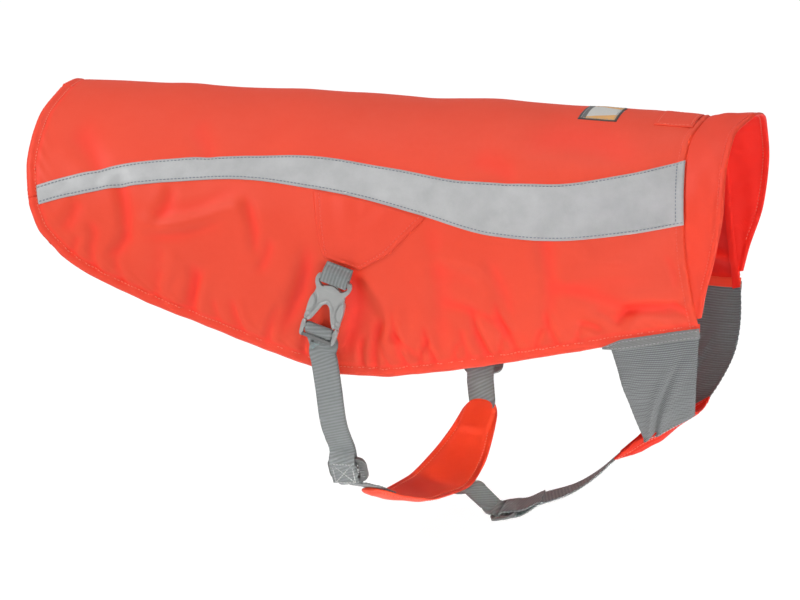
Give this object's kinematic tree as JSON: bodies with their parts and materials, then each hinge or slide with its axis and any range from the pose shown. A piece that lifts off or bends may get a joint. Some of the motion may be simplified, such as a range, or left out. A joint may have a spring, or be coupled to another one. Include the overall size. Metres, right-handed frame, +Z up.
{
  "type": "dog safety vest",
  "caption": "Worn dog vest of high-visibility cloth with a stand-up collar, reflective side stripes, mesh chest panels, side-release buckles and a padded belly strap.",
  "frame": {"origin": "on the outer face of the spine line of the back panel, midway along the back, where the dog's back holds the vest", "axes": "+X runs forward to the neck opening, +Z is up, and -Y is the dog's right side, the one nearer the camera in the picture"},
  "size_m": [0.5162, 0.2533, 0.3128],
  "materials": {
    "shell_cloth": "plain-woven polyester, orange-red, soft sheen",
    "stripe_film": "reflective tape, light grey",
    "mesh_knit": "ribbed stretch knit, dark grey",
    "webbing": "ribbed tubular webbing, grey",
    "buckle_plastic": "satin moulded plastic, grey",
    "label_cloth": "woven label, plain"
  },
  "bodies": {
    "root": {"back_panel": "shell_cloth", "side_panel_left": "shell_cloth", "side_panel_right": "shell_cloth", "stripe_left": "stripe_film", "stripe_right": "stripe_film", "yoke_patch_left": "shell_cloth", "yoke_patch_right": "shell_cloth", "spine_label": "label_cloth", "leash_patch": "shell_cloth", "collar": "shell_cloth", "chest_strip": "shell_cloth", "chest_mesh_left": "mesh_knit", "chest_mesh_right": "mesh_knit", "mesh_band_left": "mesh_knit", "mesh_band_right": "mesh_knit", "belly_pad": "shell_cloth", "buckle_socket_left": "buckle_plastic", "buckle_socket_right": "buckle_plastic", "buckle_plug_left": "buckle_plastic", "buckle_plug_right": "buckle_plastic", "tab_left": "webbing", "tab_right": "webbing", "side_web_left": "webbing", "side_web_right": "webbing", "slider_left": "buckle_plastic", "slider_right": "buckle_plastic", "chest_web_front": "webbing", "chest_web_rear": "webbing", "chest_slider": "buckle_plastic"}
  },
  "joints": []
}
